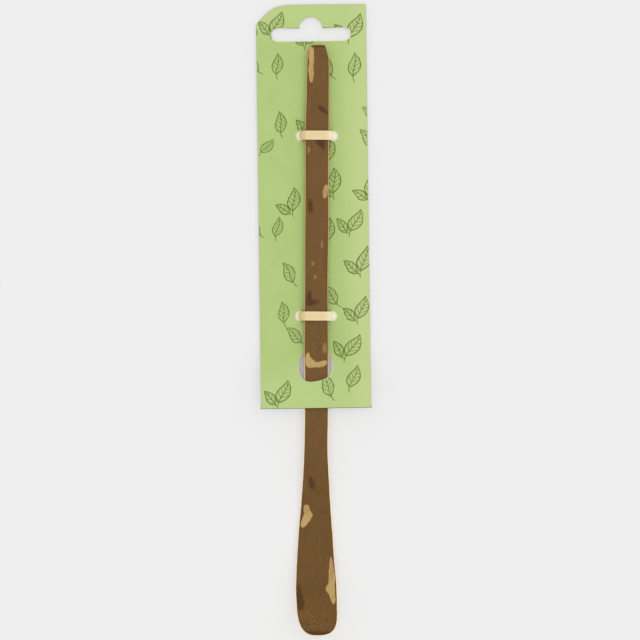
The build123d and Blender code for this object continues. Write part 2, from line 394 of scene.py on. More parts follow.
@labelled
class BandLook(PropertyGroup):
    """Sizes and colours of the elastic bands."""

    width: size("Width of a band", 2.75)
    drop: size("Band, below the middle of its solid", 0.13)
    thickness: size("Thickness of a band", 0.4)
    clearance: size("Gap between a band and the scoop", 0.15)
    leg: size("Scoop's axis to the inside of a band in its hole", 5.93)
    waist: amount("Width in the holes, against the band's", 1.12)
    shoulder_radius: size("Bend over the edges of the scoop", 0.6)
    fold_radius: size("Bend round the back of the card", 0.2)
    edge_radius: size("Rounding of the band's edges", 0.15)
    lap: size("Bonded overlap behind the card", 6.0)
    face_colour: tint("Cream of the elastic", 0xEBD49F)
    # Painted highlights along the edges, on the lit sides and at the ends, and painted shade on the left
    # side
    edge_colour: tint("Paler cream along the edges", 0xFFF7DA)
    shade_colour: tint("Tan of the stretched left side", 0xDDC28E)
    end_colour: tint("Pale ends in the holes", 0xFDFBE4)


@labelled
class StageLook(PropertyGroup):
    """Floor, light and camera."""

    floor_colour: tint("Pale floor", 0xF0F0F0)
    backdrop: amount("How brightly the room is seen", 0.99)
    floor_glow: amount("Share of the floor that shadows leave", 0.5)
    # Painted shade on the floor under the round hole, deeper to its left
    hole_glow: amount("What is left of it under the round hole", 0.15)
    hole_glow_shift: size("Darker floor, left of the round hole", 2.85)
    floor_size: size("Half the side of the floor", 3000.0)
    ambient: amount("Strength of the even light from all sides", 0.8)
    key_strength: amount("Strength of the soft light from above", 0.64)
    key_spread: angle("Width of the soft light, seen from the object", 60.0)
    camera_place: sizes("Straight above the object", 1.98, -0.42, 720.0)
    camera_roll: angle("Turn of the camera about its axis", 0.24)
    lens: amount("Focal length in millimetres", 131.9)


class Shade:
    """A socket in a material's nodes. Arithmetic on it adds Math nodes."""

    def __init__(self, tree, socket=None):
        self.tree = tree
        self.socket = socket

    def node(self, kind, settings=None, inputs=None, output=0):
        """Adds a node of a type, sets it up, then feeds its sockets with values or links."""
        made = self.tree.nodes.new("ShaderNode" + kind)
        for name, value in (settings or {}).items():
            setattr(made, name, value)
        for name, value in (inputs or {}).items():
            if isinstance(value, Shade):
                self.tree.links.new(value.socket, made.inputs[name])
            else:
                made.inputs[name].default_value = value
        return Shade(self.tree, made.outputs[output] if made.outputs else None)

    def math(self, operation, *others):
        return self.node("Math", {"operation": operation}, dict(enumerate((self, *others))))

    def __add__(self, other):
        return self.math("ADD", other)

    def __sub__(self, other):
        return self.math("SUBTRACT", other)

    def __mul__(self, other):
        return self.math("MULTIPLY", other)

    def __truediv__(self, other):
        return self.math("DIVIDE", other)

    def __pow__(self, other):
        return self.math("POWER", other)

    def __neg__(self):
        return self * -1.0

    def __abs__(self):
        return self.math("ABSOLUTE")

    def __rsub__(self, other):
        return -self + other

    __radd__ = __add__
    __rmul__ = __mul__

    def fade(self, start, end):
        """0 at start, 1 at end, and smooth between them. Start may be the larger."""
        settings = {"interpolation_type": "SMOOTHSTEP", "clamp": True}
        return self.node("MapRange", settings, {"Value": self, "From Min": start, "From Max": end})

    def either(self, other):
        return self.math("MAXIMUM", other)

    def choose(self, low, high):
        """Mixes two colours: low where this is 0, high where it is 1."""
        return self.node("Mix", {"data_type": "RGBA"}, {0: self, 6: opaque(low), 7: opaque(high)}, output=2)

    def split(self):
        """The three parts of a vector."""
        parts = self.node("SeparateXYZ", None, {0: self})
        return [Shade(self.tree, socket) for socket in parts.socket.node.outputs]

    def sibling(self, name):
        """Another output of the same node."""
        return Shade(self.tree, self.socket.node.outputs[name])

    def vector(self, x, y, z=0.0):
        return self.node("CombineXYZ", None, {0: x, 1: y, 2: z})

    def grain(self, vector, scale, detail=3.0, roughness=0.55):
        """Noise between about 0 and 1 over a vector."""
        inputs = {"Vector": vector, "Scale": scale, "Detail": detail, "Roughness": roughness}
        return self.node("TexNoise", {"noise_dimensions": "3D"}, inputs)


def opaque(colour):
    """A plain colour with its alpha, as a colour socket takes it. A linked colour stays as it is."""
    return colour if isinstance(colour, Shade) else (*colour, 1.0)


def layered(base, *layers):
    """Lays colours over a base one after the other, each where its mask is 1."""
    for mask, colour in layers:
        base = mask.choose(base, colour)
    return base


def empty_nodes(owner):
    """Clears the nodes of a material or a world, and gives a Shade to draw on them."""
    owner.use_nodes = True
    owner.node_tree.nodes.clear()
    return Shade(owner.node_tree)


def new_finish(name):
    """A material, and a Shade to draw on its nodes."""
    material = bpy.data.materials.new(name)
    return material, empty_nodes(material)


def surface(shade, colour, roughness, height, depth, specular):
    """A shader with its colour, its roughness, a bump of a given depth and its specular level."""
    bump = shade.node("Bump", None, {"Strength": 1.0, "Distance": depth, "Height": height})
    inputs = {"Base Color": colour, "Roughness": roughness, "Normal": bump, "Specular IOR Level": specular}
    return shade.node("BsdfPrincipled", None, inputs)


def put_on(shade, shader):
    """Ends a material."""
    shade.node("OutputMaterial", None, {"Surface": shader})


def millimetres(shade):
    """Object coordinates, in millimetres."""
    place = shade.node("TexCoord", None, None, output=3)
    return shade.node("VectorMath", {"operation": "SCALE"}, {0: place, "Scale": 1.0 / MM})


def add_object(name, data):
    """Puts a mesh, a light or a camera into the scene, at the origin."""
    made = bpy.data.objects.new(name, data)
    bpy.context.scene.collection.objects.link(made)
    return made


def mesh_object(name, bm, materials):
    """Puts a finished mesh into the scene."""
    mesh = bpy.data.meshes.new(name)
    bm.to_mesh(mesh)
    bm.free()
    for material in materials:
        mesh.materials.append(material)
    return add_object(name, mesh)


def hand_over(name, bm, materials, body, node, sharp):
    """Makes a piece of a finished mesh. It stands for a CAD node and rides on its body."""
    piece = mesh_object(name, bm, materials)
    piece.data.shade_smooth()
    piece.data.set_sharp_from_angle(angle=sharp)
    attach(piece, body)
    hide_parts(node)


def face_outwards(bm):
    bmesh.ops.recalc_face_normals(bm, faces=bm.faces)


def soften(bm, parts, radius, steps, affect="EDGES"):
    """Rounds the corners of an outline or the edges of a solid."""
    bmesh.ops.bevel(bm, geom=parts, offset=radius, offset_type="OFFSET", segments=steps, profile=0.5,
                    affect=affect, material=-1)


def new_verts(made):
    """The vertices among what an extrusion made."""
    return [part for part in made["geom"] if isinstance(part, bmesh.types.BMVert)]


def outline(bm, corners, radii):
    """A flat closed line with rounded corners."""
    verts = [bm.verts.new((*corner, 0.0)) for corner in corners]
    bm.faces.new(verts)
    for vert, radius in zip(verts, radii):
        if radius:
            soften(bm, [vert], radius, ARC_STEPS, "VERTICES")
    bmesh.ops.delete(bm, geom=bm.faces, context="FACES_ONLY")


def scoop_axis():
    """Middle of the scoop, across its length."""
    low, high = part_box("tea_scoop")
    return (low.x + high.x) / 2


def band_centre(node, look):
    """Place of a band along the card: a little below the middle of its solid."""
    low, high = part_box(node)
    return (low.y + high.y) / 2 - look.drop


class ScoopForm:
    """Shape of the scoop, from its sizes and its place in the frame. Distances run from the handle end."""

    def __init__(self, look, band):
        self.look = look
        low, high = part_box("tea_scoop")
        self.axis = scoop_axis()
        self.end = high.y
        self.belly = look.handle_length + look.neck_length
        self.length = self.belly + look.bowl_length
        self.flare_end = self.length - look.tip_stretch
        self.flare_start = self.flare_end - look.flare_length
        band_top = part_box("upper_band")[1].z
        self.handle_skin = band_top - band.thickness - band.clearance - look.crown
        self.belly_skin = low.z + self.thickness(self.belly) + self.underside_sag(self.belly)
        self.neck_angle = 2 * atan((self.handle_skin - self.belly_skin) / look.neck_length)
        self.neck_radius = look.neck_length / 2 / sin(self.neck_angle)
        self.tip_angle = asin(look.bowl_length / look.bend_radius)

    def thickness(self, at):
        look = self.look
        return between(look.thickness, look.tip_thickness, ease(at, look.handle_length, self.length))

    def dish(self, at):
        """How much of the bowl's hollow is reached."""
        return ease(at, self.look.handle_length, self.belly + self.look.bowl_length / 2)

    def underside_sag(self, at):
        return self.look.underside_round + self.look.hollow * self.dish(at)

    def half_skin(self, at):
        """Half the skin's width, before carving."""
        look = self.look
        handle = between(look.end_width, look.handle_width, min(at / look.handle_length, 1.0))
        flare = ease(at, self.flare_start, self.flare_end)
        return (handle + (look.bowl_width - look.handle_width) * flare) / 2

    def flanks(self, at):
        """How far the left and right sides slope out below the skin."""
        look = self.look
        grown = ease(at, self.flare_start - look.neck_length, self.flare_start)
        return [between(look.flank, wide, grown) for wide in look.bowl_flanks]

    def spine(self, at):
        """Height of the skin's line, and its slope."""
        look = self.look
        if at <= look.handle_length:
            return self.handle_skin, 0.0
        if at <= look.handle_length + look.neck_length / 2:
            drop, slope = arc(at - look.handle_length, self.neck_radius)
            return self.handle_skin - drop, -slope
        if at <= self.belly:
            rise, slope = arc(self.belly - at, self.neck_radius)
            return self.belly_skin + rise, -slope
        rise, slope = arc(at - self.belly, look.bend_radius)
        return self.belly_skin + rise, slope

    def tip_distance(self, at):
        """Distance to the tip, along the tangent of the bowl there."""
        if at < self.belly:
            return self.look.bowl_length
        return self.look.bend_radius * sin(self.tip_angle - self.spine(at)[1])

    def fullness(self, at, side):
        """How far a carved side stands out from its even half width."""
        column = 1 if side < 0 else 2
        for start, stop in zip(CARVED_SIDES, CARVED_SIDES[1:]):
            if at <= stop[0] * MM:
                return between(start[column], stop[column], ease(at, start[0] * MM, stop[0] * MM)) * MM
        return CARVED_SIDES[-1][column] * MM

    def trimmed(self, at, side, reach):
        """How far a side reaches from the axis, once the handle end and the tip are rounded."""
        look = self.look
        hand = 0 if side < 0 else 1
        end_round, tip_round = look.end_corners[hand], look.tip_corners[hand]
        from_end, to_tip = at - look.end_inset, self.tip_distance(at)
        if from_end < end_round:
            flat = look.end_flat / 2 + side * look.end_lean
            return between(flat, reach, quarter(from_end / end_round, look.end_square))
        if to_tip < tip_round:
            return between(side * look.tip_lean, reach, quarter(to_tip / tip_round, look.tip_square))
        return reach

    def section(self, at):
        """Points round the section: across, up from the skin line, and how far round it they lie."""
        look = self.look
        deep = self.thickness(at)
        chamfer = look.chamfer * deep / look.thickness
        half = self.half_skin(at)
        crown = between(look.crown, -look.hollow, self.dish(at))
        sag = self.underside_sag(at)
        from_end = at - look.end_inset
        nose = look.edge_softness * (1 - quarter(min(from_end / look.edge_softness, 1.0)))
        bevel = look.end_bevel_depth * max(1 - from_end / look.end_bevel_length, 0.0)

        def on_skin(x):
            return min(crown * (1 - (x / half) ** 2), look.crown - bevel) - nose

        def on_underside(x):
            return -deep - sag * (1 - (x / half) ** 2) + nose

        def face(start, stop, steps, height, middle):
            """Points across the skin or the underside, between its two edges."""
            points = []
            for step in range(1, steps):
                share = step / steps
                x = between(start.x, stop.x, share)
                points.append(Vector((x, height(x), between(middle, start.z, abs(2 * share - 1)))))
            return points

        sides = []
        for side, flank in zip((-1, 1), self.flanks(at)):
            skin_half = half + self.fullness(at, side)
            skin_half += look.carving * wander(at, look.neck_length / 2, side)
            foot = skin_half + flank
            edge, slope, base, flat = (self.trimmed(at, side, reach) - nose for reach in (
                skin_half, skin_half + flank * look.shave, foot, foot - chamfer))
            sides.append([
                Vector((side * edge, on_skin(edge), SKIN_EDGE)),
                Vector((side * slope, on_skin(edge) - flank, SHAVED_EDGE)),
                Vector((side * base, chamfer - deep, BASE_CORNER)),
                Vector((side * flat, on_underside(flat), FLAT_CORNER)),
            ])
        left, right = sides
        skin = face(left[0], right[0], SKIN_POINTS, on_skin, SKIN_MIDDLE)
        underside = face(right[-1], left[-1], UNDERSIDE_POINTS, on_underside, UNDERSIDE_MIDDLE)
        soft = look.edge_softness
        return [*skin, *rounded([skin[-1], *right, underside[0]], soft),
                *underside, *rounded([underside[-1], *reversed(left), skin[0]], soft)]

    def place(self, at, across, up):
        """A point of a section, in the frame."""
        height, slope = self.spine(at)
        along = at - up * sin(slope)
        return Vector((self.axis + across, self.end - along, height + up * cos(slope)))


def quarter(share, square=2.0):
    """Rise of a quarter circle from 0 to 1, or of a squarer curve."""
    return max(1.0 - (1.0 - share) ** square, 0.0) ** (1 / square)


def rounded(run, radius):
    """The inner corners of a run of points, each rounded by three points."""
    points = []
    for before, corner, after in zip(run, run[1:], run[2:]):
        start, stop = (
            corner.lerp(end, min(radius / max((end - corner).xy.length, radius), CORNER_SHARE))
            for end in (before, after))
        points += [start, start * 0.25 + corner * 0.5 + stop * 0.25, stop]
    return points


def bamboo_finish(look, form):
    """Mottled brown skin with tan patches and dark spots, and pale fibrous flesh on the shaved sides."""
    material, shade = new_finish("mottled_bamboo")
    x, y, z = millimetres(shade).split()
    across = x - form.axis / MM
    along = form.end / MM - y
    girth = shade.node("Attribute", {"attribute_name": "girth"}, None, output=2)

    # Edges of the patches are feathered along the fibres.
    drift = shade.grain(shade.vector(across * 1.6, along * 0.45, z), 0.9, 3.0) - 0.5
    feather = shade.grain(shade.vector(across * 9.0, along * 1.1, z), 1.0, 2.0) - 0.5
    bent_across = across + drift * 0.9
    bent_along = along + feather * 1.1 + drift * 0.6

    def blotches(spots, soft):
        """Where the ellipses lie, 0 to 1."""
        field = None
        for at, right, half_length, half_width, turn in spots:
            cosine, sine = cos(radians(turn)), sin(radians(turn))
            sideways, lengthways = bent_across - right, bent_along - at
            long_way = abs(lengthways * (cosine / half_length) + sideways * (sine / half_length))
            wide_way = abs(sideways * (cosine / half_width) - lengthways * (sine / half_width))
            spot = ((long_way**SPOT_SQUARE + wide_way**SPOT_SQUARE) * -SPOT_FALL).math("EXPONENT")
            field = spot if field is None else field + spot
        return field.fade(0.5 - soft, 0.5 + soft)

    streaks = shade.grain(shade.vector(across * 5.0, along * 0.07, z * 5.0), 1.0, 4.0, 0.65)
    mottle = shade.grain(shade.vector(across * 0.5, along * 0.16, z), 1.0, 3.0)
    grit = shade.grain(shade.vector(across * 3.2, along * 2.6, z * 3.2), 1.0, 2.0)
    fibres = shade.grain(shade.vector(across * 7.0, along * 0.05, z * 7.0), 1.0, 3.0, 0.6)
    tan_patches = blotches(TAN_PATCHES, 0.1)
    speckled = blotches(SPECKLED, 0.4)
    patch = layered(
        look.patch_colour,
        (streaks.fade(0.35, 0.7) * 0.6, look.patch_colour * 0.72),
        (mottle.fade(0.45, 0.7) * 0.35, look.skin_colour * 2.2),
        (blotches(BLUSHED, 0.4) * 0.9, look.blush_colour))

    # The skin darkens along its edges, all round the tip, and in a line across the handle end.
    rim = girth.fade(0.86, 0.99) * along.fade(*DARK_RIM)
    rim = rim.either(along.fade(*DARK_TIP)) * 0.7
    rim = rim.either(girth.fade(0.9, 1.0) * 0.35) * (1.0 - tan_patches * 0.6)
    end_line = along.fade(*END_LINE) * along.fade(*END_LINE_OVER) * across.fade(*END_LINE_START)
    # Tone that wanders at random with the streaks and the mottle, darker in places and lighter in others
    shadow = (0.5 - streaks) * 0.5 + (0.5 - mottle) * 0.45
    skin = layered(
        look.skin_colour,
        # Painted shade over the neck and bowl
        (along.fade(*BOWL_SHADE) * along.fade(*BOWL_SHADE_END), look.bowl_colour),
        (shadow.fade(0.0, 0.25), look.skin_colour * 0.66),
        ((-shadow).fade(0.0, 0.3), look.skin_colour * 1.42),
        (blotches(DARK_SPOTS, 0.38) * (streaks * 0.5 + 0.55), look.spot_colour),
        (blotches(FAINT_PATCHES, 0.3) * 0.35, patch),
        (grit.fade(0.54, 0.68) * (speckled * 0.14 + 0.05), patch),
        (grit.fade(0.46, 0.32) * (speckled * 0.68 + 0.1), look.spot_colour),
        (end_line * 0.6, look.spot_colour),
        (tan_patches, patch),
        (rim, look.spot_colour))

    # On the handle the shaved edge is tanned, and the skin wraps a little way round it.
    handle = along.fade(*TANNED_FLESH)
    flesh = layered(
        look.flesh_colour,
        (fibres.fade(0.56, 0.7) * 0.55, look.fibre_colour),
        (girth.fade(1.9, 2.6) * 0.35, look.fibre_colour),
        (handle * 0.85, look.tanned_colour))
    bare = (girth + (streaks - 0.5) * 0.1 - handle * 0.06).fade(0.985, 1.03)
    roughness = 0.5 + (streaks - 0.5) * 0.16 + bare * 0.16 - tan_patches * 0.04
    put_on(shade, surface(shade, bare.choose(skin, flesh), roughness, streaks * 0.6 + fibres * bare,
                          depth=0.05 * MM, specular=0.15))
    return material


class TEAWARE_OT_scoop(Operator):
    """Carve the bamboo scoop: a strip with rounded ends, bent up into a shallow bowl"""

    bl_idname = "teaware.scoop"
    bl_label = "Tea scoop"

    def execute(self, context):
        look = context.scene.tea_scoop
        form = ScoopForm(look, context.scene.tea_bands)
        reach = form.length - look.end_inset
        stations = [look.end_inset + reach * (1 - cos(pi * step / SCOOP_STATIONS)) / 2
                    for step in range(SCOOP_STATIONS + 1)]
        sections = [form.section(at) for at in stations]
        around = len(sections[0])

        # A flat grid is rolled round the sections. Its last row lies on its first and is merged with it.
        bm = bmesh.new()
        bmesh.ops.create_grid(bm, x_segments=SCOOP_STATIONS, y_segments=around, size=0.5)
        girth = bm.verts.layers.float.new("girth")
        for vert in bm.verts:
            station = round((vert.co.x + 0.5) * SCOOP_STATIONS)
            point = sections[station][round((vert.co.y + 0.5) * around) % around]
            vert[girth] = point.z
            vert.co = form.place(stations[station], point.x, point.y)
        bmesh.ops.remove_doubles(bm, verts=bm.verts, dist=MERGE_GAP)
        rims = [edge for edge in bm.edges if edge.is_boundary]
        bmesh.ops.holes_fill(bm, edges=rims, sides=0)
        face_outwards(bm)
        finish = bamboo_finish(look, form)
        hand_over("scoop", bm, [finish], "scoop", "tea_scoop", SCOOP_SHARP)
        return {"FINISHED"}


def card_height(look, y, hole_y):
    """Height of the board above its flat part, and its slope, where the lower margin is lifted."""
    rise = 2 * look.ramp_half * tan(look.ramp_angle)
    bend = look.bend_radius * tan(look.ramp_angle / 2)
    turn = look.bend_radius * sin(look.ramp_angle)
    down = hole_y + look.ramp_half - y
    foot, head = -bend, 2 * look.ramp_half + bend
    if down <= foot:
        return 0.0, 0.0
    if down >= head:
        return rise, 0.0
    if down < foot + turn:
        return arc(down - foot, look.bend_radius)
    if down > head - turn:
        drop, slope = arc(head - down, look.bend_radius)
        return rise - drop, slope
    return down * tan(look.ramp_angle), look.ramp_angle


def round_hole(look):
    """Centre of the round hole: on the scoop's axis, above the lower edge of the turned card."""
    lowest_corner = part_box("hang_card")[0].y
    bottom = lowest_corner + (look.width / 2 - look.lower_margin * tan(look.turn / 2)) * sin(look.turn)
    return Vector((scoop_axis(), bottom + look.lower_margin, 0.0))


def cut_lines(bm, look, bands, hole):
    """Draws what the die cuts: outline and hang slot, turned on the scoop, then the round holes."""
    axis, hole_y = hole.x, hole.y
    half = look.width / 2
    solid_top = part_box("hang_card")[1].y - hole_y - half * sin(look.turn)
    solid_top = hole_y + solid_top / cos(look.turn)
    left, right = axis - half - look.overhang, axis + half
    top = solid_top + look.overhang
    bottom = hole_y - look.lower_margin - look.overhang
    cut_along, cut_down = look.corner_cut
    bow_along, bow_down = look.corner_bow
    soft = look.corner_radius
    outline(bm, [(left, bottom), (right, bottom), (right, top), (left + cut_along, top),
                 (left + bow_along, top - bow_down), (left, top - cut_down)],
            [0, 0, 0, soft, soft, soft * CUT_FOOT])

    mid = axis - look.slot_shift
    end, bump = look.slot_length / 2, look.slot_bump
    slot_top = solid_top - look.slot_from_top
    slot_bottom = slot_top - look.slot_height
    round_end, round_bump = look.slot_height * SLOT_ROUND, bump * BUMP_ROUND
    outline(bm, [(mid - end, slot_bottom), (mid + end, slot_bottom), (mid + end, slot_top),
                 (mid + bump, slot_top), (mid + bump, slot_top + bump), (mid - bump, slot_top + bump),
                 (mid - bump, slot_top), (mid - end, slot_top)],
            [round_end, round_end, round_end, 0, round_bump, round_bump, 0, round_end])
    bmesh.ops.rotate(bm, cent=hole, matrix=Matrix.Rotation(look.turn, 3, "Z"), verts=bm.verts)

    def punch(x, y, radius):
        return bmesh.ops.create_circle(bm, cap_ends=False, segments=HOLE_STEPS, radius=radius,
                                       matrix=Matrix.Translation((x, y, 0.0)))["verts"]

    for vert in punch(axis, hole_y, look.hole_radius):
        if vert.co.y < hole_y:
            share = (vert.co.x - axis) / look.hole_radius
            square = quarter(1 - min(abs(share), 1.0), look.flap_square)
            vert.co.y = hole_y - look.flap_reach * square * (1 - look.flap_lean * share)
    for node in BANDS:
        for side in (-1, 1):
            punch(axis + side * look.band_hole_offset, band_centre(node, bands), look.band_hole_radius)


def along_card(shade, look, hole):
    """Coordinates along the turned card, in millimetres, and how far right and up from the hole they are."""
    turned = shade.node("Mapping", None, {"Vector": millimetres(shade), "Rotation": (0.0, 0.0, -look.turn)})
    centre = Matrix.Rotation(-look.turn, 3, "Z") @ hole / MM
    x, y, _ = turned.split()
    return turned, x, y, x - centre.x, y - centre.y


def printed_finish(look, hole):
    """Green print with a scatter of line-drawn leaves, under a thin satin varnish."""
    material, shade = new_finish("printed_board")
    turned, x, y, right, up = along_card(shade, look, hole)
    shaky = shade.grain(turned, 0.8, 2.0) - 0.5
    x = x + shaky * 0.5
    y = y + shaky * 0.35

    # Sprigs lie scattered about. Each is turned at random and grows with the room round it.
    x = x + look.leaf_shift / MM
    flat = {"voronoi_dimensions": "2D"}
    spots = {"Vector": shade.vector(x, y), "Scale": MM / look.leaf_pitch, "Randomness": look.leaf_scatter}
    nearest = shade.node("TexVoronoi", flat, spots, output="Color")
    turn_chance, _, _ = nearest.split()
    centre_x, centre_y, _ = nearest.sibling("Position").split()
    room = shade.node("TexVoronoi", flat | {"feature": "N_SPHERE_RADIUS"}, spots, output="Radius")
    room = room * (look.leaf_pitch / look.leaf_room)
    twin = room.math("GREATER_THAN", 1.0)
    growth = room.math("MINIMUM", FULL_GROWN).math("MAXIMUM", HALF_GROWN)
    cell_x = (x - centre_x) / growth - twin * 1.6
    cell_y = (y - centre_y) / growth - 0.9

    def turned_by(u, v, cosine, sine):
        """Coordinates turned by an angle, given as its cosine and sine."""
        return u * cosine + v * sine, v * cosine - u * sine

    long = look.leaf_length / MM / 2
    wide = look.leaf_width / MM / 2
    line = look.line_width / MM / 2

    def leaf(u, v, share, stem):
        """Drawn lines and inside of one leaf that points along v, its base at v = -long * share."""
        half_length, half_width = long * share, wide * share
        sway = (half_length**2 - v * v) * (v * 0.012 + 0.025)
        side = abs(u - sway)
        taper = v / half_length
        width = (1.0 - taper * taper) * (1.0 - taper * 0.32) * half_width
        edge = (side - width) * 0.85
        within = edge.fade(0.05, -0.1)
        outer = abs(edge).fade(line * 1.4, line * 0.5)
        rib = side.fade(line * 1.3, line * 0.4)
        rib = rib * v.fade(-half_length - stem, -half_length - stem + 0.4)
        rib = rib * v.fade(half_length * 0.9, half_length * 0.7)
        vein = (v - side * 1.05) / VEIN_PITCH
        vein = abs(vein.math("FRACT") - 0.5) * VEIN_PITCH
        vein = vein.fade(line * 1.5, line * 0.4) * edge.fade(-0.12, -0.3)
        vein = vein * v.fade(half_length * 0.75, half_length * 0.6) * 0.85
        return outer.either(rib).either(vein), within

    # The leaves hang from their stems with their tips up, leaning to either side. A sprig with room
    # has a smaller twin leaf, which forks off at the stem.
    direction = (turn_chance - 0.5) * 1.7 * (1.0 - twin * 0.6) - twin * 0.3
    u, v = turned_by(cell_x, cell_y, direction.math("COSINE"), direction.math("SINE"))
    lines, inside = leaf(u, v, 1.0, 1.9)
    side_u, side_v = turned_by(u - 0.1, v + (long + 1.1), cos(TWIN_FORK), sin(TWIN_FORK))
    twin_lines, twin_inside = leaf(side_u, side_v - long * TWIN_SHARE - 0.7, TWIN_SHARE, 0.7)
    lines = lines.either(twin_lines * twin * (1.0 - inside))
    inside = inside.either(twin_inside * twin)

    tone = shade.grain(turned, 0.12, 3.0)
    screen = shade.grain(turned, 9.0, 2.0)
    pressure = shade.grain(turned, 1.3, 2.0).fade(0.2, 0.6) * 0.26 + 0.74
    # Painted light: paler on the right and on the lifted lower margin. Also paler towards the top.
    paled = (right.fade(*LIT_RIGHT) * 0.8).either(up.fade(*PALER_TOP) * 0.5)
    paled = paled.either(up.fade(*LIT_FOOT) * 0.35)
    colour = layered(
        look.front_colour,
        (tone.fade(0.3, 0.7) * 0.3 + screen * 0.12, look.front_colour * 0.86),
        (paled, look.faded_colour),
        (inside * 0.09, look.ink_colour),
        (lines * pressure, look.ink_colour))
    roughness = 0.42 + screen * 0.12 - lines * 0.04
    put_on(shade, surface(shade, colour, roughness, screen, depth=0.012 * MM, specular=0.25))
    return material


def board_finish(name, colour, roughness, look, hole):
    """Uncoated board, with its pressed fibres. Painted shade greys its outline, and a painted shadow line
    darkens its lower edge.
    """
    material, shade = new_finish(name)
    place, _, _, right, up = along_card(shade, look, hole)
    inside = look.width / MM / 2 - abs(right)
    above = up + look.lower_margin / MM
    fibres = shade.grain(place, 3.2, 5.0, 0.7)
    flecks = shade.grain(place, 1.1, 2.0).fade(0.62, 0.72)
    # Painted shade along the outline, and a painted shadow line at the lower edge
    outline_shade = inside.fade(*SHADED_SIDES).either(up.fade(*SHADED_TOP))
    pale = layered(
        colour * 0.9,
        (fibres.fade(0.35, 0.7), colour),
        (flecks * 0.12, colour * 0.6),
        (outline_shade * 0.9, look.outline_colour),
        (above.fade(*SHADOW_LINE_FOOT), look.lower_colour))
    put_on(shade, surface(shade, pale, roughness + fibres * 0.1, fibres, depth=0.03 * MM, specular=0.3))
    return material


class TEAWARE_OT_card(Operator):
    """Die-cut the printed board and bend its lower margin over the scoop"""

    bl_idname = "teaware.card"
    bl_label = "Hang card"

    def execute(self, context):
        look = context.scene.tea_card
        hole = round_hole(look)
        bm = bmesh.new()
        cut_lines(bm, look, context.scene.tea_bands, hole)
        bmesh.ops.remove_doubles(bm, verts=bm.verts, dist=2 * MERGE_GAP)
        bmesh.ops.triangle_fill(bm, use_beauty=True, use_dissolve=False, edges=bm.edges, normal=(0, 0, 1))

        # A narrow rim runs round every cut edge. Cuts across the bends let the board curve.
        bmesh.ops.inset_region(bm, faces=bm.faces, use_boundary=True, use_even_offset=True,
                               thickness=look.edge_softness)
        reach = look.ramp_half + look.bend_radius * tan(look.ramp_angle / 2)
        for cut in range(RAMP_CUTS + 1):
            level = hole.y - reach + 2 * reach * cut / RAMP_CUTS
            bmesh.ops.bisect_plane(bm, geom=[*bm.verts, *bm.edges, *bm.faces], dist=MERGE_GAP,
                                   plane_co=(0.0, level, 0.0), plane_no=(0.0, 1.0, 0.0))
        sheet = bmesh.ops.extrude_face_region(bm, geom=bm.faces[:])
        bmesh.ops.translate(bm, vec=(0.0, 0.0, look.thickness), verts=new_verts(sheet))
        face_outwards(bm)
        walls = [face for face in bm.faces if abs(face.normal.z) < WALL_NORMAL]
        for vert in {vert for face in walls for vert in face.verts}:
            inward = -1 if vert.co.z > look.thickness / 2 else BACK_ROUND
            vert.co.z += inward * look.edge_softness
        bm.normal_update()
        for face in bm.faces:
            upright = face.normal.z
            face.material_index = 0 if upright > FLAT_NORMAL else 2 if upright < -FLAT_NORMAL else 1
        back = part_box("hang_card")[0].z
        for vert in bm.verts:
            rise, slope = card_height(look, vert.co.y, hole.y)
            vert.co.z = back + rise + vert.co.z / cos(slope)
        finishes = [printed_finish(look, hole),
                    board_finish("cut_board_edge", look.edge_colour, 0.6, look, hole),
                    board_finish("board_back", look.back_colour, 0.65, look, hole)]
        hand_over("printed_card", bm, finishes, "card", "hang_card", CARD_SHARP)
        return {"FINISHED"}


def elastic_finish(look, centre, axis):
    """Cream elastic with fine ribs along its length. Painted highlights pale its rounded edges, its lit
    sides and its ends in the holes, and painted shade tans its left side.
    """
    material, shade = new_finish("elastic")
    x, y, z = millimetres(shade).split()
    across = abs(y - centre / MM)
    side = x - axis / MM
    ribs = (y * 2 * pi * RIBS_PER_MM).math("SINE") * 0.5 + 0.5
    fuzz = shade.grain(shade.vector(x * 0.6, y * 4.0, z * 0.6), 1.0, 3.0)
    # Painted highlights along the rounded edges, on the lit sides and at the ends, and painted shade on the
    # left side
    edge = (across + (fuzz - 0.5) * 0.2).fade(*HIGHLIT_EDGES)
    rounded_end = abs(side) + across * across * 0.28
    shaded = side.fade(*SHADED_LEFT) * rounded_end.fade(*SHADED_LEFT_OVER)
    cream = layered(
        look.face_colour,
        (fuzz.fade(0.3, 0.75) * 0.25, look.face_colour * 0.8),
        (edge * 0.6, look.edge_colour),
        (abs(side).fade(*LIT_SIDES), look.edge_colour),
        (shaded * 0.85, look.shade_colour),
        (rounded_end.fade(*HIGHLIT_ENDS), look.end_colour))
    put_on(shade, surface(shade, cream, 0.55 + fuzz * 0.15, ribs * 0.7 + fuzz * 0.5,
                          depth=0.02 * MM, specular=0.3))
    return material


